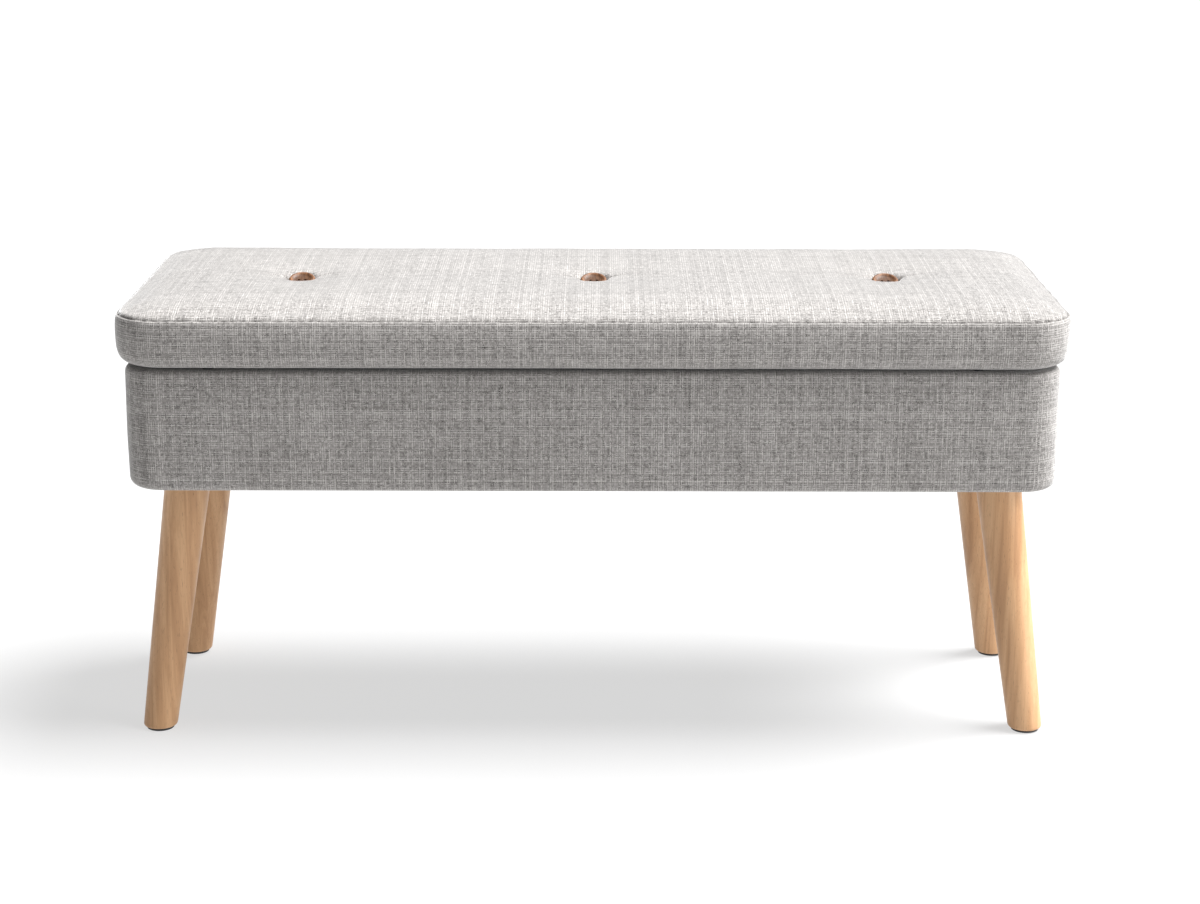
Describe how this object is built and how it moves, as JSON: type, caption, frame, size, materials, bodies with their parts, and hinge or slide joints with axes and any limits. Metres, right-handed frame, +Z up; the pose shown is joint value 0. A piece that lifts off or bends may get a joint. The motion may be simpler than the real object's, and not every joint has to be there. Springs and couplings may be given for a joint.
{
  "type": "storage ottoman bench",
  "caption": "Upholstered storage ottoman: padded box on splayed turned wooden legs, with a button-tufted cushion lid hinged at the back over the storage hollow.",
  "frame": {"origin": "on the floor, under the middle of the bench", "axes": "+X along the bench's length to its right, -Y to the front, away from the hinges, +Z up"},
  "size_m": [1, 0.4, 0.485],
  "materials": {
    "cover_fabric": "matte",
    "wadding": "matte",
    "lining_fabric": "matte",
    "dust_cover_fabric": "matte",
    "twine": "matte",
    "carcass_wood": "matte",
    "leg_wood": "satin",
    "button_wood": "satin",
    "glide_plastic": "matte",
    "track_plastic": "satin",
    "bumper_rubber": "matte",
    "zinc_steel": "satin"
  },
  "bodies": {
    "base": {"back_panel": "carcass_wood", "base_panel": "carcass_wood", "box_cover": "cover_fabric", "box_lining": "lining_fabric", "box_padding": "wadding", "corner_block_back_left": "carcass_wood", "corner_block_back_right": "carcass_wood", "corner_block_front_left": "carcass_wood", "corner_block_front_right": "carcass_wood", "dust_cover": "dust_cover_fabric", "foot_glide_back_left": "glide_plastic", "foot_glide_back_right": "glide_plastic", "foot_glide_front_left": "glide_plastic", "foot_glide_front_right": "glide_plastic", "front_panel": "carcass_wood", "hinge_box_leaf_left": "zinc_steel", "hinge_box_leaf_right": "zinc_steel", "hinge_box_screws": "zinc_steel", "hinge_pin_left": "zinc_steel", "hinge_pin_right": "zinc_steel", "left_end_panel": "carcass_wood", "leg_back_left": "leg_wood", "leg_back_right": "leg_wood", "leg_bolts": "zinc_steel", "leg_front_left": "leg_wood", "leg_front_right": "leg_wood", "leg_plate_back_left": "zinc_steel", "leg_plate_back_right": "zinc_steel", "leg_plate_front_left": "zinc_steel", "leg_plate_front_right": "zinc_steel", "leg_plate_screws": "zinc_steel", "panel_dowels": "carcass_wood", "right_end_panel": "carcass_wood", "rim_bumpers": "bumper_rubber", "stay_track_left": "track_plastic", "stay_track_right": "track_plastic", "stay_track_screws": "zinc_steel"},
    "lid": {"button_left": "button_wood", "button_middle": "button_wood", "button_right": "button_wood", "hinge_lid_leaf_left": "zinc_steel", "hinge_lid_leaf_right": "zinc_steel", "hinge_lid_screws": "zinc_steel", "lid_board": "carcass_wood", "lid_cover": "cover_fabric", "lid_cushion": "wadding", "lid_lining": "lining_fabric", "stay_bracket_left": "zinc_steel", "stay_bracket_right": "zinc_steel", "stay_bracket_screws": "zinc_steel", "stay_rivet_left": "zinc_steel", "stay_rivet_right": "zinc_steel", "tuft_anchors": "zinc_steel", "tuft_twines": "twine"},
    "stay_arm_left": {"stay_arm_left": "zinc_steel", "stay_stud_left": "zinc_steel"},
    "stay_arm_right": {"stay_arm_right": "zinc_steel", "stay_stud_right": "zinc_steel"}
  },
  "joints": [
    {"name": "lid_hinge", "type": "hinge", "parent": "base", "child": "lid", "pos_m": [0, 0.1945, 0.4195], "axis": [-1, 0, 0], "range_deg": [0, 70]},
    {"name": "stay_turn_left", "type": "hinge", "parent": "lid", "child": "stay_arm_left", "pos_m": [-0.45775, 0.03574, 0.40001], "axis": [1, 0, 0], "range_deg": [0, 140]},
    {"name": "stay_turn_right", "type": "hinge", "parent": "lid", "child": "stay_arm_right", "pos_m": [0.45775, 0.03574, 0.40001], "axis": [1, 0, 0], "range_deg": [0, 140]}
  ],
  "couplings": [
    {"joint": "stay_turn_left", "follows": "lid_hinge", "ratio": 2},
    {"joint": "stay_turn_right", "follows": "lid_hinge", "ratio": 2}
  ]
}
